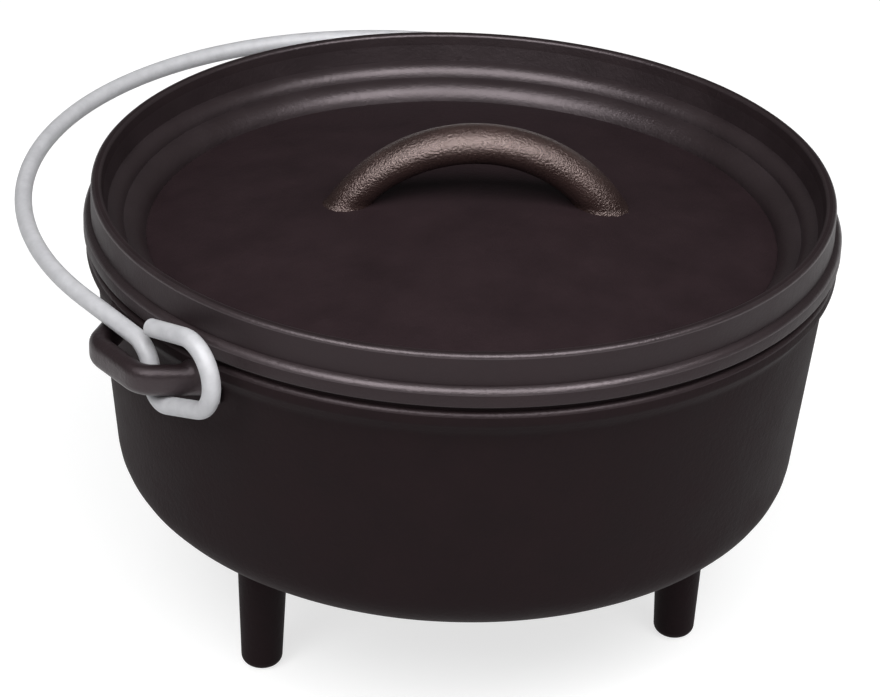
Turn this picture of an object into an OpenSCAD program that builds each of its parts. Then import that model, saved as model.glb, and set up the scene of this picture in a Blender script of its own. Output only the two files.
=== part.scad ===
// Camp dutch oven: a cast iron pot on three legs, a lid with a coal flange, and a wire bail.
// Millimetres, +Z up. The origin lies on the pot's axis at ground level, and +X runs through the two ears.
// At rest the lid lies on the pot's rim and the bail lies back towards +Y, on the ears.

/* [Pot] */
// Inside diameter of the mouth
mouth_d = 254; // [220:1:320]
// Outside depth, from the lid's seat to the underside of the bottom
pot_depth = 99; // [85:1:140]
// Thickness of the wall
wall_t = 5.5; // [4:0.1:7]
// Thickness of the bottom
bottom_t = 5.5; // [4:0.1:9]
// Lean of the wall, in degrees from upright
wall_draft = 5.5; // [2:0.1:8]
// Outside radius of the corner between wall and bottom
corner_r = 17; // [12:0.5:28]

/* [Rim] */
// Height of the band round the rim
band_h = 13; // [10:0.5:17]
// Height of the band's upright face
band_face_h = 5; // [4:0.1:7]
// How far the band stands out from the wall
band_t = 3.3; // [2:0.1:5]
// Height of the lid's seat above the band's shoulder
seat_h = 3.4; // [1.5:0.1:4]
// How far the seat's edge lies inside the band's face
seat_inset = 0.8; // [0.5:0.1:3]

/* [Legs] */
// Clear height under the bottom
leg_h = 56; // [35:1:75]
// Diameter at the bottom of the pot
leg_root_d = 19; // [13:0.5:22]
// Diameter at the tip
leg_tip_d = 15; // [11:0.5:18]
// Radius of the rounded tip's edge
leg_tip_r = 6; // [3:0.1:6.5]
// Distance from the foot of the wall to the middle of a leg
leg_inset = 34; // [26:1:45]
// Turn of the ring of legs, in degrees from a leg right under an ear
leg_turn = 2; // [-10:0.5:10]

/* [Ears] */
// Drop from the lid's seat to the top of an ear
ear_drop = 7.7; // [7.2:0.1:13]
// Width of an ear's bar, seen from above
ear_w = 7.5; // [6:0.1:9]
// Height of an ear's bar
ear_h = 10.8; // [8:0.1:13]
// Radius of the bar's edges
ear_edge_r = 3.6; // [2:0.1:4]
// Opening between the two arms of an ear, where the bail passes
ear_opening = 27.6; // [26.6:0.2:36]
// Splay of the arms, in degrees from the radial line
ear_splay = 34; // [20:1:38]
// Radius of the bend in the middle of the bar
ear_bend_r = 9; // [8:0.1:10]

/* [Lid] */
// How far the lip stands out past the pot's band
lip_overhang = 0.8; // [0.5:0.1:4]
// Height of the lip's upright face
lip_h = 3.7; // [2.5:0.1:7]
// Radius of the lip's round shoulder
lip_nose_r = 3; // [1.5:0.1:4]
// Height of the coal flange above the seat
flange_h = 17.2; // [14:0.1:30]
// Thickness of the flange at its top
flange_t = 3.6; // [3:0.1:6]
// Lean of the flange's outside, in degrees from upright
flange_draft = 1; // [0.5:0.5:8]
// Lean of the flange's inside, in degrees from upright
tray_draft = 13; // [5:0.5:16]
// Height of the flange's inner foot above the seat
flange_foot_h = 6.2; // [5:0.1:9]
// Radius of the upper of the two round steps inside the flange
high_nose_r = 5.8; // [4:0.1:7]
// Radius of the lower step
low_nose_r = 9.2; // [6:0.1:10]
// Thickness of the plate
plate_t = 5; // [4:0.1:7]
// Rise of the plate's dome
dome_rise = 14.3; // [6:0.1:20]
// Gap between the lid's underside and the pot's mouth
lid_clear = 1; // [0.5:0.1:3]

/* [Lid handle] */
// Distance between the middles of the two feet
handle_span = 92.2; // [70:0.2:130]
// Shift of the handle along its own line, from the middle of the lid
handle_shift = 3.8; // [-8:0.1:8]
// Thickness of the handle's oval bar
handle_t = 14.1; // [10:0.1:20]
// Width of the handle's bar, seen from above
handle_w = 17; // [12:0.5:26]
// Finger gap between the plate and the handle
handle_gap = 14.2; // [12:0.1:40]
// Turn of the lid on the pot, in degrees from the line of the ears
lid_turn = -37; // [-90:1:90]

/* [Bail] */
// Diameter of the wire
wire_d = 6.35; // [4.5:0.05:8]
// Gap between the lid's lip and the wire
bail_gap = 1.4; // [0.5:0.1:4]
// Straight length of wire between the eye's bend and the round part
bail_leg = 31.5; // [26:0.5:80]
// Rise of the bail from level where it lies on the ears, in degrees
bail_rise = 1.6; // [0:0.1:8]
// Gap between the wire and the ear that carries it
eye_clear = 0.4; // [0.3:0.05:0.8]
// Gap between the wire that drops through the ear and the arm beside it
eye_side_gap = 1.4; // [1.2:0.1:2.5]
// Gap below the arm, straight down from its middle to the wire under it
eye_under_gap = 1.15; // [1:0.05:2.5]
// Height of the eye's turning centre above the middle of the arm inside it
eye_lift = 4; // [3:0.1:4.5]
// Straight length of wire that drops through the ear
eye_drop_l = 1.5; // [1:0.1:2.5]
// Radius of the eye's bend under the ear's arm
eye_bend_r = 7; // [6:0.1:8]
// Radius of the near eye's round end
near_eye_end_r = 12.8; // [12:0.1:14]
// Reach of the near eye's round end past its turning centre
near_eye_reach = 26.6; // [22:0.1:27]
// Radius of the far eye's round end
far_eye_end_r = 10.1; // [10:0.1:14]
// Reach of the far eye's round end past its turning centre
far_eye_reach = 20.5; // [20.5:0.1:27]
// Tilt of each eye's lower side, in degrees
eye_low_tilt = 20; // [12:1:24]
// Tilt of the near eye's upper side, in degrees
near_eye_tip_tilt = 15; // [5:1:20]
// Tilt of the far eye's upper side, in degrees
far_eye_tip_tilt = -12; // [-12:1:20]
// Length of each eye's upper side, from the round end to the cut tip
eye_tip_l = 20.5; // [12:0.5:22]

/* [Hidden] */
$fn = 96;

// Steps in which a rounded corner, the dome or a round step is drawn
CORNER_STEPS = 6;
DOME_STEPS = 12;
NOSE_STEPS = 8;
// Lean of a round step's face at its top and at its foot, in degrees from level
NOSE_TOP = 5;
NOSE_FOOT = 76;
// Largest share of an outline's side that one rounded corner may take
CORNER_SHARE = 0.48;
// Depth by which a bar runs on into what it is cut from
ROOT = 20;
// Straight stretches of a bar or a wire run this far into its bends, and are drawn this much slimmer all round
LAP = 0.8;
SLIM = 0.05;

IRON = [0.19, 0.165, 0.17];
IRON_LIGHT = [0.24, 0.205, 0.2];
ZINC = [0.78, 0.79, 0.8];

// Small rounded edges of the castings
MOUTH_EDGE_R = 1.2;
SEAT_EDGE_R = 0.7;
BAND_EDGE_R = 1.7;
BAND_FOOT_R = 5;
LIP_EDGE_R = 0.9;
FLANGE_OUTER_R = 1.5;
FLANGE_INNER_R = 1.2;

// Pot, as radii and heights above the ground
seat_z = leg_h + pot_depth;
mouth_r = mouth_d / 2;
wall_r = mouth_r + wall_t;
band_r = wall_r + band_t;
seat_r = band_r - seat_inset;
wall_foot_r = wall_r - (pot_depth - band_h) * tan(wall_draft);
cavity_foot_r = mouth_r - (pot_depth - bottom_t - band_h) * tan(wall_draft);
floor_r = cavity_foot_r - (corner_r - wall_t);
leg_ring_r = wall_foot_r - leg_inset;

// Lid
nose_w = sin(NOSE_FOOT) - sin(NOSE_TOP);
nose_fall = cos(NOSE_TOP) - cos(NOSE_FOOT);
lip_r = band_r + lip_overhang;
shoulder_r = lip_r - lip_nose_r * nose_w;
shoulder_z = lip_h + lip_nose_r * nose_fall;
flange_top_r = shoulder_r - (flange_h - shoulder_z) * tan(flange_draft);
tray_top_r = flange_top_r - flange_t;
tray_r = tray_top_r - (flange_h - flange_foot_h) * tan(tray_draft);
groove_r = tray_r - high_nose_r * nose_w;
groove_z = flange_foot_h - high_nose_r * nose_fall;
plate_r = groove_r - low_nose_r * nose_w;
plate_z = groove_z - low_nose_r * nose_fall;
dome_r = (plate_r * plate_r + dome_rise * dome_rise) / (2 * dome_rise);
dome_centre_z = plate_z + dome_rise - dome_r;
dome_angle = asin(plate_r / dome_r);
plug_r = mouth_r - lid_clear;

// Lid handle, a bow whose middle line is an arc through the middles of the two feet
foot_z = dome_centre_z + sqrt(dome_r * dome_r - handle_span * handle_span / 4);
bow_top_z = plate_z + dome_rise + handle_gap + handle_t / 2;
bow_rise = bow_top_z - foot_z;
bow_r = (handle_span * handle_span / 4 + bow_rise * bow_rise) / (2 * bow_rise);
bow_half_angle = asin(handle_span / 2 / bow_r);
bow_root_angle = ROOT / bow_r * 180 / PI;

// Bail and ears. An ear is drawn by u, outwards from the pot's axis, and v, along the rim.
wire_r = wire_d / 2;
bail_u = lip_r + bail_gap + wire_r;
ear_bar_u = bail_u + wire_r + eye_clear + ear_w / 2;
bar_edge_r = min(ear_edge_r, CORNER_SHARE * ear_w);
arm_half_w = ear_w / 2 / cos(ear_splay);
arm_v = ear_opening / 2 + arm_half_w;
ear_corner_v = arm_v - (ear_bar_u - bail_u) * tan(ear_splay);
ear_bend_angle = 90 - ear_splay;
ear_bend_l = ear_bend_r * tan(ear_bend_angle / 2);
ear_top_z = seat_z - ear_drop;
arm_z = ear_top_z - ear_h / 2;

// Eyes of the bail, drawn by v and z in the upright planes at bail_u. They turn about eye_v, eye_z.
eye_v = arm_v;
eye_z = arm_z + eye_lift;
eye_low = (eye_lift + ear_h / 2 + eye_under_gap + wire_r) * cos(eye_low_tilt);
drop_v = ear_opening / 2 - eye_side_gap - wire_r;
under_v = drop_v + eye_bend_r;
under_z = eye_z + (eye_bend_r - eye_low + sin(eye_low_tilt) * (under_v - eye_v)) / cos(eye_low_tilt);
bail_rest_z = ear_top_z + (wire_r + eye_clear) / cos(bail_rise);
over_z = bail_rest_z - (drop_v + ear_opening / 2) * tan(bail_rise);
drop_end_z = under_z + eye_drop_l;
over_r = (over_z - drop_end_z) / (cos(bail_rise) - (1 - sin(bail_rise)) * tan(bail_rise));
over_v = drop_v - over_r;
leg_start_v = over_v + over_r * sin(bail_rise);
leg_start_z = drop_end_z + over_r * cos(bail_rise);
along_low = [cos(eye_low_tilt), sin(eye_low_tilt)];
across_low = [-sin(eye_low_tilt), cos(eye_low_tilt)];
low_start = [under_v, under_z] - eye_bend_r * across_low;

function unit(v) = v / norm(v);

// Rounded corner of an outline at q, between its neighbours p and s
function corner(p, q, s, r) =
    let (a = unit(p - q), b = unit(s - q), half = acos(a * b) / 2)
    let (room = CORNER_SHARE * min(norm(p - q), norm(s - q)))
    let (fit_r = min(r, room * tan(half)), reach = fit_r / tan(half))
    let (centre = q + unit(a + b) * fit_r / sin(half))
    let (from = q + a * reach - centre, to = q + b * reach - centre)
    let (start = atan2(from[1], from[0]), way = sign(from[0] * to[1] - from[1] * to[0]))
    [for (i = [0 : CORNER_STEPS])
        centre + fit_r * [cos(start + way * (180 - 2 * half) * i / CORNER_STEPS),
                          sin(start + way * (180 - 2 * half) * i / CORNER_STEPS)]];

// Outline from points of the form [radius, height, corner radius]
function rounded(pts) =
    let (n = len(pts))
    [for (i = [0 : n - 1])
        let (p = pts[(i + n - 1) % n], q = pts[i], s = pts[(i + 1) % n])
        each q[2] == 0
            ? [[q[0], q[1]]]
            : corner([p[0], p[1]], [q[0], q[1]], [s[0], s[1]], q[2])];

// Outside of the pot, from the lid's seat to the corner of the bottom
pot_outside = [
    [seat_r, 0, SEAT_EDGE_R],
    [seat_r, -seat_h, SEAT_EDGE_R],
    [band_r, -seat_h, BAND_EDGE_R],
    [band_r, -seat_h - band_face_h, BAND_EDGE_R],
    [wall_r, -band_h, BAND_FOOT_R],
    [wall_foot_r, -pot_depth, corner_r]
];

// Inside of the pot, from the corner of the bottom to the mouth
pot_inside = [
    [cavity_foot_r, bottom_t - pot_depth, corner_r - wall_t],
    [mouth_r, -band_h, BAND_FOOT_R],
    [mouth_r, 0, MOUTH_EDGE_R]
];

// Points of the dome at radius r about its centre, from angle 0 to the plate's edge
function dome_points(r) =
    [for (i = [0 : DOME_STEPS])
        let (a = dome_angle * i / DOME_STEPS)
        [r * sin(a), dome_centre_z + r * cos(a), 0]];

// Points of a round step from its top at [r, z] down to its foot, which lies outwards where side is 1
function nose(r, z, nose_r, side) =
    [for (i = [0 : NOSE_STEPS])
        let (a = NOSE_TOP + (NOSE_FOOT - NOSE_TOP) * i / NOSE_STEPS)
        [r + side * nose_r * (sin(a) - sin(NOSE_TOP)), z - nose_r * (cos(NOSE_TOP) - cos(a)), 0]];

// The face where the lid's plate and flange meet runs from the foot of the tray to the edge of the seat
tray_foot = [tray_r, flange_foot_h, 0];
seat_edge = [plug_r, 0, 0];

// The plate's section: dome and round steps, then back along the underside
plate_section = [
    each dome_points(dome_r),
    each [for (i = [NOSE_STEPS - 1 : -1 : 0]) nose(groove_r, groove_z, low_nose_r, -1)[i]],
    each [for (i = [NOSE_STEPS - 1 : -1 : 0]) nose(tray_r, flange_foot_h, high_nose_r, -1)[i]],
    seat_edge,
    each [for (i = [DOME_STEPS : -1 : 0]) dome_points(dome_r - plate_t)[i]]
];

// The flange's section: inside wall, rim, outside wall, lip and seat
flange_section = [
    tray_foot,
    [tray_top_r, flange_h, FLANGE_INNER_R],
    [flange_top_r, flange_h, FLANGE_OUTER_R],
    each nose(shoulder_r, shoulder_z, lip_nose_r, 1),
    [lip_r, 0, LIP_EDGE_R],
    seat_edge
];

// The pot's outer shape without its hollow, which the ears and legs are cut to
module pot_blank() {
    translate([0, 0, seat_z])
        rotate_extrude()
            polygon(rounded([each pot_outside, [0, -pot_depth, 0], [0, 0, 0]]));
}

// The wall with its rounded foot, up to the upright face where it meets the floor
module pot_wall() {
    bowl = rounded([each pot_outside, [0, -pot_depth, 0], [0, bottom_t - pot_depth, 0], each pot_inside]);
    color(IRON)
        translate([0, 0, seat_z])
            rotate_extrude()
                polygon([for (q = bowl) [max(q[0], floor_r), q[1]]]);
}

module pot_floor() {
    color(IRON)
        translate([0, 0, leg_h])
            cylinder(h = bottom_t, r = floor_r);
}

// Cross-section of a bar with rounded edges, drawn slimmer all round by the given amount
module bar_section(w, h, edge_r, slim = 0) {
    flat_w = w - 2 * edge_r;
    flat_h = h - 2 * edge_r;
    round_r = edge_r - slim;
    square([flat_w + 2 * round_r, flat_h], center = true);
    square([flat_w, flat_h + 2 * round_r], center = true);
    for (x = [-1, 1])
        for (y = [-1, 1])
            translate([x * flat_w / 2, y * flat_h / 2])
                circle(r = round_r);
}

// Straight bar along +Y that laps into the bends at its ends
module ear_run(length) {
    translate([0, -LAP, 0])
        rotate([-90, 0, 0])
            linear_extrude(length + 2 * LAP)
                bar_section(ear_w, ear_h, bar_edge_r, SLIM);
}

// An ear at +X: the cross bar, then a bend and an arm on each side, cut to the pot's outside
module ear() {
    bar_half_l = ear_corner_v - ear_bend_l;
    arm_l = (ear_bar_u - wall_foot_r) / cos(ear_splay) + ROOT;
    color(IRON)
        difference() {
            translate([0, 0, arm_z]) {
                translate([ear_bar_u, -bar_half_l, 0])
                    ear_run(2 * bar_half_l);
                for (side = [0, 1])
                    mirror([0, side, 0])
                        translate([ear_bar_u - ear_bend_r, bar_half_l, 0]) {
                            rotate_extrude(angle = ear_bend_angle)
                                translate([ear_bend_r, 0])
                                    bar_section(ear_w, ear_h, bar_edge_r);
                            rotate([0, 0, ear_bend_angle])
                                translate([ear_bend_r, 0, 0])
                                    ear_run(arm_l);
                        }
            }
            pot_blank();
        }
}

module near_ear() {
    mirror([1, 0, 0])
        ear();
}

module far_ear() {
    ear();
}

// A leg at the given angle round the pot, cut to the pot's underside
module leg(angle) {
    slope = (leg_root_d - leg_tip_d) / 2 / leg_h;
    outline = rounded([
        [0, 0, 0],
        [leg_tip_d / 2, 0, leg_tip_r],
        [leg_root_d / 2 + slope * ROOT, leg_h + ROOT, 0],
        [0, leg_h + ROOT, 0]
    ]);
    color(IRON)
        difference() {
            rotate([0, 0, angle])
                translate([leg_ring_r, 0, 0])
                    rotate_extrude()
                        polygon(outline);
            pot_blank();
        }
}

module ear_leg() {
    leg(180 + leg_turn);
}

module front_leg() {
    leg(leg_turn - 60);
}

module back_leg() {
    leg(leg_turn + 60);
}

module lid_plate() {
    color(IRON)
        translate([0, 0, seat_z])
            rotate_extrude()
                polygon(rounded(plate_section));
}

module coal_flange() {
    color(IRON)
        translate([0, 0, seat_z])
            rotate_extrude()
                polygon(rounded(flange_section));
}

// What lies below the plate's upper face, which the handle is cut to
module below_plate() {
    translate([0, 0, seat_z])
        rotate_extrude()
            polygon(rounded([
                each dome_points(dome_r),
                [plate_r, plate_z - 2 * ROOT, 0],
                [0, plate_z - 2 * ROOT, 0]
            ]));
}

// The bow stands in the upright plane along +X before the lid's turn
module lid_handle() {
    reach = bow_half_angle + bow_root_angle;
    color(IRON_LIGHT)
        difference() {
            rotate([0, 0, lid_turn])
                translate([handle_shift, 0, seat_z + bow_top_z - bow_r])
                    rotate([90, 0, 0])
                        rotate([0, 0, 90 - reach])
                            rotate_extrude(angle = 2 * reach)
                                translate([bow_r, 0])
                                    bar_section(handle_t, handle_w, CORNER_SHARE * handle_t);
            below_plate();
        }
}

// Upright plane at x, in which children are drawn by v and z
module eye_plane(x) {
    translate([x, 0, 0])
        mirror([0, 1, 0])
            rotate([90, 0, 90])
                children();
}

// Wire along an arc about a centre, from one angle to another
module wire_arc(centre, r, from, to) {
    translate(centre)
        rotate([0, 0, from])
            rotate_extrude(angle = to - from)
                translate([r, 0])
                    circle(r = wire_r);
}

// Straight wire from a point, along a heading, that laps into the bends at its ends
module wire_run(start, heading, length) {
    translate(start)
        rotate([0, 0, heading])
            translate([-LAP, 0, 0])
                rotate([0, 90, 0])
                    cylinder(r = wire_r - SLIM, h = length + 2 * LAP);
}

// Eye: the bend down into the ear, the bend under its arm, the round end and the cut tip
module eye(end_r, reach, tip_tilt) {
    end_v = eye_v + reach - end_r;
    low_l = (end_v + end_r * sin(eye_low_tilt) - low_start[0]) / cos(eye_low_tilt);
    end_centre = low_start + low_l * along_low + end_r * across_low;
    high_start = end_centre + end_r * [-sin(tip_tilt), cos(tip_tilt)];
    wire_arc([over_v, drop_end_z], over_r, 0, 90 - bail_rise);
    wire_run([drop_v, drop_end_z], -90, eye_drop_l);
    wire_arc([under_v, under_z], eye_bend_r, 180, 270 + eye_low_tilt);
    wire_run(low_start, eye_low_tilt, low_l);
    wire_arc(end_centre, end_r, eye_low_tilt - 90, tip_tilt + 90);
    wire_run(high_start, 180 + tip_tilt, eye_tip_l - LAP);
}

module bail() {
    color(ZINC) {
        eye_plane(-bail_u)
            eye(near_eye_end_r, near_eye_reach, near_eye_tip_tilt);
        eye_plane(bail_u)
            eye(far_eye_end_r, far_eye_reach, far_eye_tip_tilt);
        translate([0, -leg_start_v, leg_start_z])
            rotate([bail_rise, 0, 0]) {
                for (side = [-1, 1])
                    wire_run([side * bail_u, 0], 90, bail_leg);
                wire_arc([0, bail_leg], bail_u, 0, 180);
            }
    }
}

pot_wall();
pot_floor();
near_ear();
far_ear();
ear_leg();
front_leg();
back_leg();
lid_plate();
coal_flange();
lid_handle();
bail();
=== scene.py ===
"""Looks of a camp dutch oven: a pot and a lid of sand-cast iron, and a bail of galvanised wire.

Lengths in the named values are millimetres, and MM turns them into Blender's metres. The floor, the lamps,
the camera and the grain of the materials are given in metres.
"""

import math

import bmesh
import bpy
from mathutils import Matrix, Vector, noise


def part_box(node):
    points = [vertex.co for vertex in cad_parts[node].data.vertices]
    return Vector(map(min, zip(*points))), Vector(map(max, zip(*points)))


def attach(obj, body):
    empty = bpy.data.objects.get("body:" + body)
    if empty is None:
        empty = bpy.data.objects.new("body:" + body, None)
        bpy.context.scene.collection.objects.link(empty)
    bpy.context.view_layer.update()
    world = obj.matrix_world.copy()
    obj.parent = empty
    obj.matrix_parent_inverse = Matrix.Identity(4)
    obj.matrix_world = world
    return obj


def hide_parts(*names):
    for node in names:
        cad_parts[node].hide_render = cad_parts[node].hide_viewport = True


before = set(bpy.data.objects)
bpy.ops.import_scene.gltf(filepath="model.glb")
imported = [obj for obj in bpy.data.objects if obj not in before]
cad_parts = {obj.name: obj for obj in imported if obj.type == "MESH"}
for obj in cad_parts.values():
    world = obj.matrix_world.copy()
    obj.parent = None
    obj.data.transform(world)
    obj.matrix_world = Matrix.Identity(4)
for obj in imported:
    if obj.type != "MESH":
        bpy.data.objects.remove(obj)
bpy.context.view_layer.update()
MM = 0.001


def box_mm(node):
    """Lowest and highest corner of a CAD node, in millimetres."""
    low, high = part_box(node)
    return low / MM, high / MM


# Driving sizes read from the frame
POT_LOW, POT_HIGH = box_mm("pot_wall")
FLANGE_LOW, FLANGE_HIGH = box_mm("coal_flange")
EAR_LOW, EAR_HIGH = box_mm("near_ear")
SEAT_Z = POT_HIGH.z
POT_DEPTH = SEAT_Z - POT_LOW.z
BAND_R = POT_HIGH.x
LEG_H = POT_LOW.z
LIP_R = FLANGE_HIGH.x
FLANGE_H = FLANGE_HIGH.z - SEAT_Z
EAR_H = EAR_HIGH.z - EAR_LOW.z
ARM_Z = (EAR_HIGH.z + EAR_LOW.z) / 2

# Pot
WALL_T = 5.5
BOTTOM_T = 5.5
WALL_DRAFT = 5.5
CORNER_R = 17
BAND_T = 3.3
BAND_H = 13
BAND_FACE_H = 5
SEAT_H = 3.4
BAND_NOSE = 2.2
MOUTH_EDGE = 1.2
SEAT_EDGE = 0.7
BAND_FOOT_EDGE = 1.7
BAND_BEND = 5

# Legs
LEG_ROOT_R = 9.5
LEG_TIP_R = 7.5
LEG_TIP_EDGE = 6
LEG_INSET = 34
LEG_FILLET = 3.5
LEG_ANGLES = {"ear_leg": 182, "front_leg": -58, "back_leg": 62}

# Lid
LIP_H = 3.7
LIP_SKIRT = 1
LIP_EDGE = 0.9
SKIRT_EDGE = 0.4
SKIRT_CLEAR = 1
LIP_NOSE = 3
FLANGE_T = 3.6
FLANGE_DRAFT = 1
FLANGE_EDGE = 1.5
TRAY_EDGE = 1.2
TRAY_DRAFT = 13
TRAY_FOOT_H = 7
HIGH_NOSE = 6.3
LOW_NOSE = 9
NOSE_TOP = math.radians(5)
NOSE_FOOT = math.radians(76)
NOSE_STEPS = 14
PLATE_T = 5
DOME_RISE = 13.7
LID_CLEAR = 1
PLUG_EDGE = 1.5

# Lid handle
HANDLE_TURN = -34.5
HANDLE_SPAN = 92.2
HANDLE_SHIFT = 3.8
HANDLE_GAP = 14.2
HANDLE_D = 14.1
HANDLE_W = 17
HANDLE_FOOT_SHARES = (0.9, 1.1)
HANDLE_FILLET = 0.8
HANDLE_SINK = 6

# Ears
EAR_W = 7.5
EAR_EDGE = 3.6
EAR_SPLAY = 34
EAR_BEND_R = 9
EAR_ARM = 22
EAR_OPENING = 27.6
EAR_FILLET = 3

# Bail
BAIL_RISE = 1.6
WIRE_R = 3.175
WIRE_TIP_SHARE = 0.84
WIRE_TIP_BEVEL = 0.5
BAIL_GAP = 1.4
BAIL_LEG = 31.5
EYE_CLEAR = 0.4
EYE_SIDE_GAP = 1.4
EYE_UNDER_GAP = 1.15
EYE_LIFT = 4
EYE_DROP = 1.5
EYE_BEND_R = 7
EYE_LOW_TILT = 20
NEAR_EYE = {"end_r": 12.8, "reach": 26.6, "tip_tilt": 15}
FAR_EYE = {"end_r": 10.1, "reach": 20.5, "tip_tilt": -12}
EYE_TIP = 20.5

# Slight waviness of the castings
WAVE = 0.1
WAVE_LENGTH = 28

# Steps of the meshes
TURN_STEPS = 288
LEG_STEPS = 64
CORNER_STEPS = 8
DOME_STEPS = 24
BAR_STEPS = 4
EAR_BEND_STEPS = 12
HANDLE_STEPS = 96
HANDLE_SIDES = 40
BOW_STEPS = 96
BAIL_LEG_STEPS = 8
EYE_TIP_STEPS = 6
EYE_RUN_STEPS = 5
ARC_DEGREES = 6
ARC_LEAST_STEPS = 4
WIRE_SIDES = 28
LONGEST_STRETCH = 4
LEG_STRETCH = 3
SHARP_ANGLE = math.radians(35)

# Outer corners below a radius get the edge mark, a smoother and lighter iron that is partly wear and partly a
# painted highlight, and a corner takes up to a share of the stretches beside it
WEAR_HIGHLIGHT_BELOW = 4
ROOM_SHARE = 0.48

# Edge value from which a stretch counts as marked for wear and painted highlight, and the coats' places in a
# casting's list of materials
WEAR_HIGHLIGHT_FROM = 0.05
PLAIN_COAT = 0
FLANGE_COAT = 1
WEAR_HIGHLIGHT_COAT = 2
TRAY_COAT = 3

# Sizes that follow from those above
MOUTH_R = BAND_R - BAND_T - WALL_T
WALL_R = MOUTH_R + WALL_T
DRAFT_TAN = math.tan(math.radians(WALL_DRAFT))
WALL_FOOT_R = WALL_R - (POT_DEPTH - BAND_H) * DRAFT_TAN
CAVITY_FOOT_R = MOUTH_R - (POT_DEPTH - BOTTOM_T - BAND_H) * DRAFT_TAN
LEG_RING_R = WALL_FOOT_R - LEG_INSET
NOSE_W = math.sin(NOSE_FOOT) - math.sin(NOSE_TOP)
NOSE_FALL = math.cos(NOSE_TOP) - math.cos(NOSE_FOOT)
SEAT_R = BAND_R - BAND_NOSE * NOSE_W
SHOULDER_R = LIP_R - LIP_NOSE * NOSE_W
SHOULDER_Z = LIP_H + LIP_NOSE * NOSE_FALL
FLANGE_TOP_R = SHOULDER_R - (FLANGE_H - SHOULDER_Z) * math.tan(math.radians(FLANGE_DRAFT))
TRAY_TOP_R = FLANGE_TOP_R - FLANGE_T
TRAY_R = TRAY_TOP_R - (FLANGE_H - TRAY_FOOT_H) * math.tan(math.radians(TRAY_DRAFT))
GROOVE_R = TRAY_R - HIGH_NOSE * NOSE_W
GROOVE_Z = TRAY_FOOT_H - HIGH_NOSE * NOSE_FALL
PLATE_R = GROOVE_R - LOW_NOSE * NOSE_W
PLATE_Z = GROOVE_Z - LOW_NOSE * NOSE_FALL
DOME_R = (PLATE_R ** 2 + DOME_RISE ** 2) / (2 * DOME_RISE)
DOME_CENTRE_Z = PLATE_Z + DOME_RISE - DOME_R
PLUG_R = MOUTH_R - LID_CLEAR
SKIRT_R = SEAT_R + SKIRT_CLEAR
FLANGE_COAT_R = TRAY_TOP_R - 1
TRAY_COAT_R = PLATE_R + 2
BAIL_U = LIP_R + BAIL_GAP + WIRE_R
EAR_ROOT_R = WALL_R - WALL_T / 2


def rounded(points):
    """Outline through (r, z, corner radius) points, as (r, z, edge) with edge 1 where the iron is marked for
    wear and a painted highlight.

    That is on sharp outer corners, and on the corners that give a fourth number, which is the edge itself.
    """
    out = []
    for i, (r, z, size, *edge_given) in enumerate(points):
        q = Vector((r, z))
        if size == 0:
            out.append((r, z, edge_given[0] if edge_given else 0.0))
            continue
        p = Vector(points[i - 1][:2])
        s = Vector(points[i + 1][:2])
        a = (p - q).normalized()
        b = (s - q).normalized()
        half = a.angle(b) / 2
        size = min(size, ROOM_SHARE * min((p - q).length, (s - q).length) * math.tan(half))
        centre = q + (a + b).normalized() * size / math.sin(half)
        start = q + a * size / math.tan(half) - centre
        turn = math.pi - 2 * half
        way = math.copysign(1, a.x * -b.y + a.y * b.x)
        outer = way < 0 and size < WEAR_HIGHLIGHT_BELOW
        for k in range(CORNER_STEPS + 1):
            share = k / CORNER_STEPS
            spoke = Matrix.Rotation(way * turn * share, 2) @ start
            # Outer corners get a bell of edge mark across their arc: a lighter colour there, partly wear and
            # partly a painted highlight.
            edge = math.sin(math.pi * share) if outer else 0.0
            out.append((centre.x + spoke.x, centre.y + spoke.y, edge_given[0] if edge_given else edge))
    return out


def refined(outline, longest):
    """The outline with its long straight stretches cut into shorter ones."""
    out = [outline[0]]
    for p, q in zip(outline, outline[1:]):
        n = max(1, math.ceil(math.hypot(q[0] - p[0], q[1] - p[1]) / longest))
        for k in range(1, n + 1):
            out.append(tuple(a + (b - a) * k / n for a, b in zip(p, q)))
    return out


def wave(point):
    """Waviness of a casting at a point, in millimetres."""
    return WAVE * noise.noise(point / WAVE_LENGTH)


def new_piece(name, bm, materials, body, replaced):
    """A smooth mesh piece from bm, in millimetres, that rides on a body and stands for CAD nodes."""
    bmesh.ops.recalc_face_normals(bm, faces=bm.faces)
    bmesh.ops.scale(bm, vec=(MM, MM, MM), verts=bm.verts)
    for face in bm.faces:
        face.smooth = True
    for edge in bm.edges:
        edge.smooth = edge.calc_face_angle(0) < SHARP_ANGLE
    mesh = bpy.data.meshes.new(name)
    bm.to_mesh(mesh)
    bm.free()
    for material in materials:
        mesh.materials.append(material)
    piece = bpy.data.objects.new(name, mesh)
    bpy.context.scene.collection.objects.link(piece)
    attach(piece, body)
    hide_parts(*replaced)
    return piece


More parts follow.
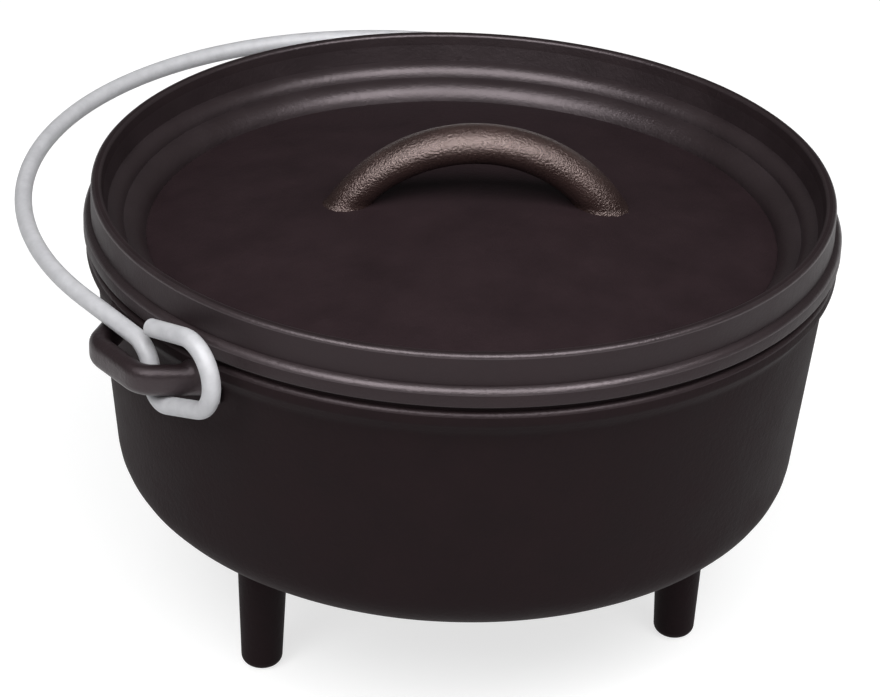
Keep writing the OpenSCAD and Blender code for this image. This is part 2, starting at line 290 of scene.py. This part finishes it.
def lathe(outline, steps=TURN_STEPS, centre=Vector((0, 0, 0)), coat=None):
    """Solid of revolution of an outline that starts and ends on the axis, with the casting's waviness.

    A coat function turns a stretch's radius and edge into its material's place in the piece's list.
    """
    bm = bmesh.new()
    edge_layer = bm.verts.layers.float.new("edge")
    rings = []
    last = len(outline) - 1
    for i, (r, z, edge) in enumerate(outline):
        if i in (0, last):
            rings.append([bm.verts.new(centre + Vector((0, 0, z)))])
            continue
        before = outline[i - 1]
        after = outline[i + 1]
        along = Vector((after[0] - before[0], after[1] - before[1])).normalized()
        ring = []
        for k in range(steps):
            a = 2 * math.pi * k / steps
            spoke = Vector((math.cos(a), math.sin(a), 0))
            point = centre + spoke * r + Vector((0, 0, z))
            out = spoke * -along.y + Vector((0, 0, along.x))
            vert = bm.verts.new(point + out * wave(point))
            vert[edge_layer] = edge
            ring.append(vert)
        rings.append(ring)
    for i, (low, high) in enumerate(zip(rings, rings[1:])):
        least_r = min(outline[i][0], outline[i + 1][0])
        edge = max(outline[i][2], outline[i + 1][2])
        for k in range(steps):
            n = (k + 1) % steps
            corners = [low[k % len(low)], low[n % len(low)], high[n % len(high)], high[k % len(high)]]
            face = bm.faces.new(list(dict.fromkeys(corners)))
            face.material_index = coat(least_r, edge) if coat else PLAIN_COAT
    return bm


def sweep(rings):
    """Skin over a list of rings of points, with closed ends."""
    bm = bmesh.new()
    bm.verts.layers.float.new("edge")
    made = [[bm.verts.new(p) for p in ring] for ring in rings]
    for low, high in zip(made, made[1:]):
        n = len(low)
        for k in range(n):
            bm.faces.new((low[k], low[(k + 1) % n], high[(k + 1) % n], high[k]))
    bm.faces.new(made[0])
    bm.faces.new(made[-1])
    return bm


def fillet_push(height, size):
    """How far a fillet of the given size stands out, at a height above the face that it runs into."""
    if height >= size:
        return 0.0
    rest = size - max(height, 0.0)
    return size - math.sqrt(size * size - rest * rest)


def add_node(tree, kind, inputs=(), **settings):
    """A shader node with its settings and its inputs, which are values or other nodes' sockets."""
    made = tree.nodes.new(kind)
    for name, value in settings.items():
        setattr(made, name, value)
    for key, value in dict(inputs).items():
        if isinstance(value, bpy.types.NodeSocket):
            tree.links.new(value, made.inputs[key])
        else:
            made.inputs[key].default_value = value
    return made


def blank_material(name):
    """A new material, its node tree and its main shader."""
    material = bpy.data.materials.new(name)
    material.use_nodes = True
    return material, material.node_tree, material.node_tree.nodes["Principled BSDF"]


def ramp(tree, factor, low, high, low_at=0.3, high_at=0.7):
    """Colour that runs from low to high as the factor goes from low_at to high_at."""
    made = add_node(tree, "ShaderNodeValToRGB", {"Fac": factor})
    first, second = made.color_ramp.elements
    first.position, first.color = low_at, (*low, 1)
    second.position, second.color = high_at, (*high, 1)
    return made.outputs["Color"]


def spread(tree, factor, low, high, low_at=0.3, high_at=0.7):
    """Number that runs from low to high as the factor goes from low_at to high_at."""
    inputs = {"Value": factor, "From Min": low_at, "From Max": high_at, "To Min": low, "To Max": high}
    return add_node(tree, "ShaderNodeMapRange", inputs).outputs["Result"]


def grain(tree, place, scale, detail=2.0, roughness=0.5):
    """Noise at a number of waves per metre."""
    inputs = {"Vector": place, "Scale": scale, "Detail": detail, "Roughness": roughness}
    return add_node(tree, "ShaderNodeTexNoise", inputs).outputs["Fac"]


# Waves per metre of the iron's clouds and specks, its change of roughness, and the tint of its gleam
CLOUD_SCALE = 45
SPECK_SCALE = 1300
PIT_STRENGTH = 0.5
ROUGH_SWING = 0.05
IRON_TINT = (1, 0.87, 0.92)


def iron_material(name, dark, light, wear_and_highlight, rough, satin, specular, pit_depth,
                  pit_scale=420, ior=1.5, tint=IRON_TINT):
    """Seasoned sand-cast iron: dark plum-brown, with a sandy grain, cloudy sheen, and marked edges that are
    smoother and lighter, partly for wear and partly as a painted highlight.
    """
    material, tree, shader = blank_material(name)
    place = add_node(tree, "ShaderNodeTexCoord").outputs["Object"]
    cloud = grain(tree, place, CLOUD_SCALE, 4, 0.6)
    pits = grain(tree, place, pit_scale, 3, 0.65)
    speck = grain(tree, place, SPECK_SCALE, 2, 0.6)
    edge = add_node(tree, "ShaderNodeAttribute", attribute_name="edge").outputs["Fac"]
    # Marked edges take a lighter colour: partly wear, partly a painted highlight where light catches outer
    # corners and step noses.
    wear_and_highlight_mix = add_node(tree, "ShaderNodeMix", {"Factor": edge}, data_type="RGBA")
    tree.links.new(ramp(tree, cloud, dark, light), wear_and_highlight_mix.inputs[6])
    wear_and_highlight_mix.inputs[7].default_value = (*wear_and_highlight, 1)
    tree.links.new(wear_and_highlight_mix.outputs[2], shader.inputs["Base Color"])
    plain_sheen = spread(tree, cloud, rough - ROUGH_SWING, rough + ROUGH_SWING)
    rubbed_sheen = spread(tree, cloud, satin - ROUGH_SWING, satin + ROUGH_SWING)
    sheen = add_node(tree, "ShaderNodeMix", {"Factor": edge, "A": plain_sheen, "B": rubbed_sheen})
    tree.links.new(sheen.outputs["Result"], shader.inputs["Roughness"])
    coarse_inputs = {"Height": pits, "Strength": PIT_STRENGTH, "Distance": pit_depth}
    coarse = add_node(tree, "ShaderNodeBump", coarse_inputs).outputs["Normal"]
    fine_inputs = {"Height": speck, "Strength": PIT_STRENGTH, "Distance": pit_depth / 2, "Normal": coarse}
    fine = add_node(tree, "ShaderNodeBump", fine_inputs).outputs["Normal"]
    tree.links.new(fine, shader.inputs["Normal"])
    shader.inputs["Specular IOR Level"].default_value = specular
    shader.inputs["Specular Tint"].default_value = (*tint, 1)
    shader.inputs["IOR"].default_value = ior
    return material


# Galvanised wire: waves per metre of its mottles and runs, its colours, roughness and share of metal
MOTTLE_SCALE = 220
RUN_SCALE = 700
RUN_DEPTH = 0.0002
RUN_STRENGTH = 0.3
ZINC_DARK = (0.465, 0.465, 0.485)
ZINC_LIGHT = (0.54, 0.54, 0.56)
ZINC_ROUGH = (0.52, 0.6)
ZINC_METAL = 0.15


def zinc_material():
    """Galvanised steel wire: pale grey, dull, faintly mottled by the zinc's crystals."""
    material, tree, shader = blank_material("galvanised_wire")
    place = add_node(tree, "ShaderNodeTexCoord").outputs["Object"]
    mottle = grain(tree, place, MOTTLE_SCALE, 3, 0.6)
    runs = grain(tree, place, RUN_SCALE, 2, 0.5)
    tree.links.new(ramp(tree, mottle, ZINC_DARK, ZINC_LIGHT), shader.inputs["Base Color"])
    tree.links.new(spread(tree, mottle, *ZINC_ROUGH), shader.inputs["Roughness"])
    bump_inputs = {"Height": runs, "Strength": RUN_STRENGTH, "Distance": RUN_DEPTH}
    bump = add_node(tree, "ShaderNodeBump", bump_inputs).outputs["Normal"]
    tree.links.new(bump, shader.inputs["Normal"])
    shader.inputs["Metallic"].default_value = ZINC_METAL
    return material


POT_IRON = iron_material(
    "pot_iron", dark=(0.0095, 0.0057, 0.0063), light=(0.0142, 0.0085, 0.0094), wear_and_highlight=(0.015, 0.0095, 0.0105),
    rough=0.7, satin=0.5, specular=0.09, pit_depth=0.0004)
EAR_IRON = iron_material(
    "ear_iron", dark=(0.0110, 0.0068, 0.0076), light=(0.0150, 0.0092, 0.0102), wear_and_highlight=(0.02, 0.013, 0.0142),
    rough=0.43, satin=0.4, specular=0.5, pit_depth=0.0004)
PLATE_IRON = iron_material(
    "plate_iron", dark=(0.0140, 0.0082, 0.0096), light=(0.0194, 0.0114, 0.0132), wear_and_highlight=(0.016, 0.0102, 0.0112),
    rough=0.62, satin=0.5, specular=0.14, pit_depth=0.0004)
TRAY_IRON = iron_material(
    "tray_iron", dark=(0.0100, 0.0060, 0.0068), light=(0.0137, 0.0083, 0.0093), wear_and_highlight=(0.02, 0.013, 0.0142),
    rough=0.5, satin=0.36, specular=0.55, pit_depth=0.0003)
FLANGE_IRON = iron_material(
    "flange_iron", dark=(0.0110, 0.0068, 0.0076), light=(0.0150, 0.0092, 0.0102), wear_and_highlight=(0.02, 0.013, 0.0142),
    rough=0.55, satin=0.36, specular=0.3, pit_depth=0.0003)
RIM_IRON = iron_material(
    "rim_iron", dark=(0.0090, 0.0055, 0.0062), light=(0.0120, 0.0074, 0.0082), wear_and_highlight=(0.014, 0.0088, 0.0096),
    rough=0.5, satin=0.39, specular=0.86, pit_depth=0.0003)
HANDLE_IRON = iron_material(
    "handle_iron", dark=(0.019, 0.0102, 0.0090), light=(0.032, 0.0174, 0.0154), wear_and_highlight=(0.03, 0.02, 0.019),
    rough=0.27, satin=0.27, specular=1.0, pit_depth=0.0006, pit_scale=1300, ior=1.65, tint=(1, 0.8, 0.76))
ZINC = zinc_material()


def nose(r, z, size, side):
    """Round step as points for rounded(), from its top at (r, z) to its foot, outwards where side is 1."""
    points = []
    for k in range(NOSE_STEPS + 1):
        share = k / NOSE_STEPS
        turn = NOSE_TOP + (NOSE_FOOT - NOSE_TOP) * share
        foot_r = r + side * size * (math.sin(turn) - math.sin(NOSE_TOP))
        foot_z = z - size * (math.cos(NOSE_TOP) - math.cos(turn))
        # The edge mark peaks in the middle of each nose: a lighter colour there, partly wear and partly a
        # painted highlight along the step.
        points.append((foot_r, foot_z, 0, math.sin(math.pi * share)))
    return points


POT_OUTSIDE = [
    (MOUTH_R, 0, MOUTH_EDGE),
    (SEAT_R, 0, SEAT_EDGE),
    *nose(SEAT_R, -SEAT_H, BAND_NOSE, 1),
    (BAND_R, -SEAT_H - BAND_FACE_H, BAND_FOOT_EDGE, 0.0),
    (WALL_R, -BAND_H, BAND_BEND),
    (WALL_FOOT_R, -POT_DEPTH, CORNER_R),
    (0, -POT_DEPTH, 0),
]
POT_INSIDE = [
    (0, BOTTOM_T - POT_DEPTH, 0),
    (CAVITY_FOOT_R, BOTTOM_T - POT_DEPTH, CORNER_R - WALL_T),
    (MOUTH_R, -BAND_H, BAND_BEND),
]
POT_OUTLINE = rounded(POT_INSIDE + POT_OUTSIDE)


def wall_radius(z):
    """Radius of the pot's outside at a height, in millimetres above the ground."""
    down = z - SEAT_Z
    start = max(range(len(POT_OUTLINE)), key=lambda i: POT_OUTLINE[i][1])
    for p, q in zip(POT_OUTLINE[start:], POT_OUTLINE[start + 1:]):
        if q[1] <= down <= p[1] and p[1] > q[1]:
            return p[0] + (q[0] - p[0]) * (p[1] - down) / (p[1] - q[1])
    return WALL_R


def lifted(outline, z):
    """The outline raised by z."""
    return [(r, h + z, edge) for r, h, edge in outline]


def pot_coat(r, edge):
    """Place of the pot's material on a stretch of its outline: its own, or the flange's on edges marked for
    wear and a painted highlight.
    """
    return FLANGE_COAT if edge > WEAR_HIGHLIGHT_FROM else PLAIN_COAT


def make_pot():
    """Wall, floor, band and seat of the pot."""
    outline = lifted(refined(POT_OUTLINE, LONGEST_STRETCH), SEAT_Z)
    bm = lathe(outline, coat=pot_coat)
    new_piece("pot_casting", bm, [POT_IRON, FLANGE_IRON], "pot", ["pot_wall", "pot_floor"])


def make_leg(node, angle):
    """Round tapered leg with a domed tip and a fillet at its root, cut level at the ground."""
    outline = [
        (0, 0, 0),
        (LEG_TIP_R, 0, LEG_TIP_EDGE),
        (LEG_ROOT_R, LEG_H, LEG_FILLET),
        (LEG_ROOT_R + 2 * LEG_FILLET, LEG_H, 0),
        (0, LEG_H + 1, 0),
    ]
    turn = math.radians(angle)
    centre = Vector((LEG_RING_R * math.cos(turn), LEG_RING_R * math.sin(turn), 0))
    bm = lathe(refined(rounded(outline), LEG_STRETCH), LEG_STEPS, centre)
    for vert in bm.verts:
        vert.co.z = max(0, vert.co.z)
    new_piece(node + "_casting", bm, [POT_IRON], "pot", [node])


def ear_path():
    """Middle line of an ear's bar as (u, v) points with headings, from the root of one arm to the other's."""
    bar_u = BAIL_U + WIRE_R + EYE_CLEAR + EAR_W / 2
    splay = math.radians(EAR_SPLAY)
    arm_v = EAR_OPENING / 2 + EAR_W / 2 / math.cos(splay)
    corner_v = arm_v - (bar_u - BAIL_U) * math.tan(splay)
    bend = math.pi / 2 - splay
    bar_half = corner_v - EAR_BEND_R * math.tan(bend / 2)
    centre = Vector((bar_u - EAR_BEND_R, bar_half))
    half = [(Vector((bar_u, bar_half * k / BAR_STEPS)), math.pi / 2) for k in range(BAR_STEPS)]
    for k in range(EAR_BEND_STEPS + 1):
        a = bend * k / EAR_BEND_STEPS
        half.append((centre + EAR_BEND_R * Vector((math.cos(a), math.sin(a))), a + math.pi / 2))
    start = half[-1][0]
    heading = bend + math.pi / 2
    for k in range(1, EAR_ARM + 1):
        step = Vector((math.cos(heading), math.sin(heading))) * k
        half.append((start + step, heading))
    other = [(Vector((p.x, -p.y)), math.pi - h) for p, h in half[:0:-1]]
    return other + half


def ear_section():
    """Cross-section of an ear's bar, as (across, up) points with rounded corners."""
    points = []
    steps = 6
    for quarter in range(4):
        middle = math.pi / 4 + quarter * math.pi / 2
        x = math.copysign(EAR_W / 2 - EAR_EDGE, math.cos(middle))
        y = math.copysign(EAR_H / 2 - EAR_EDGE, math.sin(middle))
        for k in range(steps + 1):
            a = quarter * math.pi / 2 + math.pi / 2 * k / steps
            points.append((x + EAR_EDGE * math.cos(a), y + EAR_EDGE * math.sin(a)))
    return points


def make_ear(node, side):
    """U-shaped ear with a fillet on the pot, whose ends stay inside the pot's wall."""
    rings = []
    for middle, heading in ear_path():
        across = Vector((math.sin(heading), -math.cos(heading)))
        ring = []
        for a, up in ear_section():
            plan = middle + across * a
            push = fillet_push(plan.length - wall_radius(ARM_Z + up), EAR_FILLET)
            spoke = Vector((a, up)).normalized() * push
            plan = plan + across * spoke.x
            plan = plan * max(1, EAR_ROOT_R / plan.length)
            point = Vector((side * plan.x, plan.y, ARM_Z + up + spoke.y))
            ring.append(point + Vector((0, 0, 1)) * wave(point))
        rings.append(ring)
    new_piece(node + "_casting", sweep(rings), [EAR_IRON], "pot", [node])


def dome_height(r):
    """Height of the plate's upper face above the seat, at a radius from the axis."""
    return DOME_CENTRE_Z + math.sqrt(DOME_R ** 2 - r ** 2)


def lid_coat(r, edge):
    """Place of the lid's material on a stretch of its outline."""
    if edge > WEAR_HIGHLIGHT_FROM:
        return WEAR_HIGHLIGHT_COAT
    if r > FLANGE_COAT_R:
        return FLANGE_COAT
    return TRAY_COAT if r > TRAY_COAT_R else PLAIN_COAT


def make_lid():
    """Domed plate, round steps, coal flange and lip of the lid."""
    top = []
    under = []
    for k in range(DOME_STEPS + 1):
        r = PLATE_R * k / DOME_STEPS
        top.append((r, dome_height(r), 0))
        under.append((r, DOME_CENTRE_Z + math.sqrt((DOME_R - PLATE_T) ** 2 - r ** 2), 0))
    section = top[:-1] + nose(GROOVE_R, GROOVE_Z, LOW_NOSE, -1)[::-1]
    section += nose(TRAY_R, TRAY_FOOT_H, HIGH_NOSE, -1)[-2::-1]
    section += [(TRAY_TOP_R, FLANGE_H, TRAY_EDGE), (FLANGE_TOP_R, FLANGE_H, FLANGE_EDGE)]
    section += nose(SHOULDER_R, SHOULDER_Z, LIP_NOSE, 1)
    section += [(LIP_R, -LIP_SKIRT, LIP_EDGE, 0.0), (SKIRT_R, -LIP_SKIRT, SKIRT_EDGE, 0.0)]
    section += [(SKIRT_R, 0, 0), (PLUG_R, 0, PLUG_EDGE)] + under[::-1]
    outline = lifted(refined(rounded(section), LONGEST_STRETCH), SEAT_Z)
    bm = lathe(outline, coat=lid_coat)
    new_piece("lid_casting", bm, [PLATE_IRON, FLANGE_IRON, RIM_IRON, TRAY_IRON], "lid",
              ["lid_plate", "coal_flange"])


def make_handle():
    """Loop handle: an oval bar bowed over the plate, with its feet sunk into it."""
    foot_z = dome_height(HANDLE_SPAN / 2)
    top_z = PLATE_Z + DOME_RISE + HANDLE_GAP + HANDLE_D / 2
    rise = top_z - foot_z
    bow_r = ((HANDLE_SPAN / 2) ** 2 + rise ** 2) / (2 * rise)
    half = math.asin(HANDLE_SPAN / 2 / bow_r)
    reach = half + HANDLE_SINK / bow_r
    turn = Matrix.Rotation(math.radians(HANDLE_TURN), 3, "Z")
    rings = []
    for i in range(HANDLE_STEPS + 1):
        a = reach * (2 * i / HANDLE_STEPS - 1)
        share = min(1, abs(a) / half)
        size = 1 + (HANDLE_FOOT_SHARES[a > 0] - 1) * share ** 2
        out = Vector((math.sin(a), 0, math.cos(a)))
        middle = Vector((0, 0, top_z - bow_r)) + out * bow_r
        ring = []
        for k in range(HANDLE_SIDES):
            b = 2 * math.pi * k / HANDLE_SIDES
            spoke = out * math.cos(b) * HANDLE_D / 2 + Vector((0, 1, 0)) * math.sin(b) * HANDLE_W / 2
            point = middle + spoke * size
            height = point.z - dome_height(math.hypot(point.x + HANDLE_SHIFT, point.y))
            away = Vector((point.x - math.copysign(HANDLE_SPAN / 2, point.x), point.y, 0)).normalized()
            point = point + away * fillet_push(height, HANDLE_FILLET)
            point = turn @ (point + Vector((HANDLE_SHIFT, 0, 0))) + Vector((0, 0, SEAT_Z))
            ring.append(point + turn @ spoke.normalized() * wave(point))
        rings.append(ring)
    new_piece("handle_casting", sweep(rings), [HANDLE_IRON], "lid", ["lid_handle"])


def arc(centre, r, start, end):
    """Points along an arc in a plane, with angles in degrees."""
    n = max(ARC_LEAST_STEPS, math.ceil(abs(end - start) / ARC_DEGREES))
    angles = [math.radians(start + (end - start) * k / n) for k in range(n + 1)]
    return [Vector((centre[0] + r * math.cos(a), centre[1] + r * math.sin(a))) for a in angles]


def eye_path(end_r, reach, tip_tilt):
    """Middle line of the bail's eye as (v, z) points, from the cut tip to the start of the leg."""
    tilt = math.radians(EYE_LOW_TILT)
    tip_turn = math.radians(tip_tilt)
    rise = math.radians(BAIL_RISE)
    eye_v = EAR_OPENING / 2 + EAR_W / 2 / math.cos(math.radians(EAR_SPLAY))
    eye_z = ARM_Z + EYE_LIFT
    low = (EYE_LIFT + EAR_H / 2 + EYE_UNDER_GAP + WIRE_R) * math.cos(tilt)
    drop_v = EAR_OPENING / 2 - EYE_SIDE_GAP - WIRE_R
    under_v = drop_v + EYE_BEND_R
    under_z = eye_z + (EYE_BEND_R - low + math.sin(tilt) * (under_v - eye_v)) / math.cos(tilt)
    rest_z = EAR_HIGH.z + (WIRE_R + EYE_CLEAR) / math.cos(rise)
    over_z = rest_z - (drop_v + EAR_OPENING / 2) * math.tan(rise)
    drop_end = under_z + EYE_DROP
    over_r = (over_z - drop_end) / (math.cos(rise) - (1 - math.sin(rise)) * math.tan(rise))
    across = Vector((-math.sin(tilt), math.cos(tilt)))
    along = Vector((math.cos(tilt), math.sin(tilt)))
    low_start = Vector((under_v, under_z)) - across * EYE_BEND_R
    end_v = eye_v + reach - end_r
    low_l = (end_v + end_r * math.sin(tilt) - low_start.x) / math.cos(tilt)
    end_centre = low_start + along * low_l + across * end_r
    high_start = end_centre + Vector((-math.sin(tip_turn), math.cos(tip_turn))) * end_r
    back = Vector((-math.cos(tip_turn), -math.sin(tip_turn)))
    path = [high_start + back * EYE_TIP * k / EYE_TIP_STEPS for k in range(EYE_TIP_STEPS, 0, -1)]
    path += arc(end_centre, end_r, 90 + tip_tilt, EYE_LOW_TILT - 90)
    path += [low_start + along * low_l * k / EYE_RUN_STEPS for k in range(EYE_RUN_STEPS - 1, 0, -1)]
    path += arc((under_v, under_z), EYE_BEND_R, 270 + EYE_LOW_TILT, 180)
    path += arc((drop_v - over_r, drop_end), over_r, 0, 90 - BAIL_RISE)
    return path


def bail_path():
    """Middle line of the whole bail, from one cut tip to the other."""
    rise = math.radians(BAIL_RISE)
    near = [Vector((-BAIL_U, -p.x, p.y)) for p in eye_path(**NEAR_EYE)]
    far = [Vector((BAIL_U, -p.x, p.y)) for p in eye_path(**FAR_EYE)]
    ahead = Vector((0, math.cos(rise), math.sin(rise)))
    leg = [ahead * BAIL_LEG * k / BAIL_LEG_STEPS for k in range(1, BAIL_LEG_STEPS)]
    near_leg = [near[-1] + step for step in leg]
    far_leg = [far[-1] + step for step in leg[::-1]]
    middle = Vector((0, near[-1].y, near[-1].z)) + ahead * BAIL_LEG
    round_part = []
    for k in range(BOW_STEPS + 1):
        a = math.pi - math.pi * k / BOW_STEPS
        round_part.append(middle + Vector((math.cos(a), 0, 0)) * BAIL_U + ahead * BAIL_U * math.sin(a))
    return near + near_leg + round_part + far_leg + far[::-1]


def make_bail():
    """Round wire along the bail's middle line, bevelled at its cut tips."""
    path = bail_path()
    rings = []
    normal = None
    for i, point in enumerate(path):
        ahead = (path[min(i + 1, len(path) - 1)] - path[max(i - 1, 0)]).normalized()
        if normal is None:
            normal = ahead.orthogonal()
        normal = (normal - ahead * normal.dot(ahead)).normalized()
        other = ahead.cross(normal)
        spokes = []
        for k in range(WIRE_SIDES):
            a = 2 * math.pi * k / WIRE_SIDES
            spokes.append(normal * math.cos(a) + other * math.sin(a))
        if i == 0:
            rings.append([point + s * WIRE_R * WIRE_TIP_SHARE for s in spokes])
            rings.append([point + ahead * WIRE_TIP_BEVEL + s * WIRE_R for s in spokes])
        elif i == len(path) - 1:
            rings.append([point - ahead * WIRE_TIP_BEVEL + s * WIRE_R for s in spokes])
            rings.append([point + s * WIRE_R * WIRE_TIP_SHARE for s in spokes])
        else:
            rings.append([point + s * WIRE_R for s in spokes])
    new_piece("bail_wire", sweep(rings), [ZINC], "bail", ["bail"])


make_pot()
for leg_node, leg_angle in LEG_ANGLES.items():
    make_leg(leg_node, leg_angle)
make_ear("near_ear", -1)
make_ear("far_ear", 1)
make_lid()
make_handle()
make_bail()


# Floor, light and camera
FLOOR_R = 30
FLOOR_GLOW = 0.72
FLOOR_PALE = 0.45
CAMERA_PLACE = Vector((-0.6620, -0.8031, 0.6687))
CAMERA_YAW = -39.143
CAMERA_DOWN = 28.588
CAMERA_ROLL = 2.118
CAMERA_FOCUS_PX = 3200
IMAGE_W = 880
SENSOR = 36
WORLD_LIGHT = 0.1


def make_floor():
    """Pale floor that keeps the object's shadow and looks white round it."""
    bm = bmesh.new()
    bmesh.ops.create_circle(bm, cap_ends=True, radius=FLOOR_R, segments=96)
    mesh = bpy.data.meshes.new("floor")
    bm.to_mesh(mesh)
    bm.free()
    floor = bpy.data.objects.new("floor", mesh)
    bpy.context.scene.collection.objects.link(floor)
    material, tree, shader = blank_material("floor_white")
    shader.inputs["Base Color"].default_value = (FLOOR_PALE, FLOOR_PALE, FLOOR_PALE, 1)
    shader.inputs["Roughness"].default_value = 0.9
    shader.inputs["Specular IOR Level"].default_value = 0.0
    path = add_node(tree, "ShaderNodeLightPath")
    seen = path.outputs["Is Camera Ray"]
    for ray in ("Is Glossy Ray", "Is Transmission Ray"):
        either = add_node(tree, "ShaderNodeMath", {0: seen, 1: path.outputs[ray]}, operation="MAXIMUM")
        seen = either.outputs[0]
    glow = add_node(tree, "ShaderNodeMath", {0: seen, 1: FLOOR_GLOW}, operation="MULTIPLY")
    tree.links.new(glow.outputs[0], shader.inputs["Emission Strength"])
    shader.inputs["Emission Color"].default_value = (1, 1, 1, 1)
    mesh.materials.append(material)


def make_lamp(name, place, target, width, height, power):
    """Soft box that faces a target."""
    data = bpy.data.lights.new(name, "AREA")
    data.shape = "RECTANGLE"
    data.size = width
    data.size_y = height
    data.energy = power
    lamp = bpy.data.objects.new(name, data)
    lamp.location = place
    lamp.rotation_mode = "QUATERNION"
    lamp.rotation_quaternion = (Vector(target) - Vector(place)).to_track_quat("-Z", "Y")
    bpy.context.scene.collection.objects.link(lamp)


def make_world():
    """Dim even studio light."""
    world = bpy.data.worlds.new("studio")
    world.use_nodes = True
    background = world.node_tree.nodes["Background"]
    background.inputs["Color"].default_value = (1, 1, 1, 1)
    background.inputs["Strength"].default_value = WORLD_LIGHT
    bpy.context.scene.world = world


def make_camera():
    """Camera at the photograph's place, aim and focal length."""
    data = bpy.data.cameras.new("camera")
    data.sensor_width = SENSOR
    data.lens = SENSOR * CAMERA_FOCUS_PX / IMAGE_W
    data.clip_start = 0.05
    data.clip_end = 100
    camera = bpy.data.objects.new("camera", data)
    turn = Matrix.Rotation(math.radians(CAMERA_YAW), 4, "Z")
    tilt = Matrix.Rotation(math.radians(90 - CAMERA_DOWN), 4, "X")
    roll = Matrix.Rotation(math.radians(CAMERA_ROLL), 4, "Z")
    camera.matrix_world = Matrix.Translation(CAMERA_PLACE) @ turn @ tilt @ roll
    bpy.context.scene.collection.objects.link(camera)
    bpy.context.scene.camera = camera


make_floor()
make_world()
make_camera()
make_lamp("key_softbox", place=(-0.515, -0.634, 1.41), target=(0, 0, 0.15),
          width=2.0, height=1.2, power=33)
make_lamp("left_softbox", place=(-1.07, -0.29, 1.0), target=(-0.05, -0.05, 0.14),
          width=0.6, height=0.6, power=4)
make_lamp("right_softbox", place=(0.15, -0.79, 1.1), target=(0.05, -0.05, 0.16),
          width=0.5, height=0.5, power=4)
bpy.context.scene.view_settings.view_transform = "Standard"
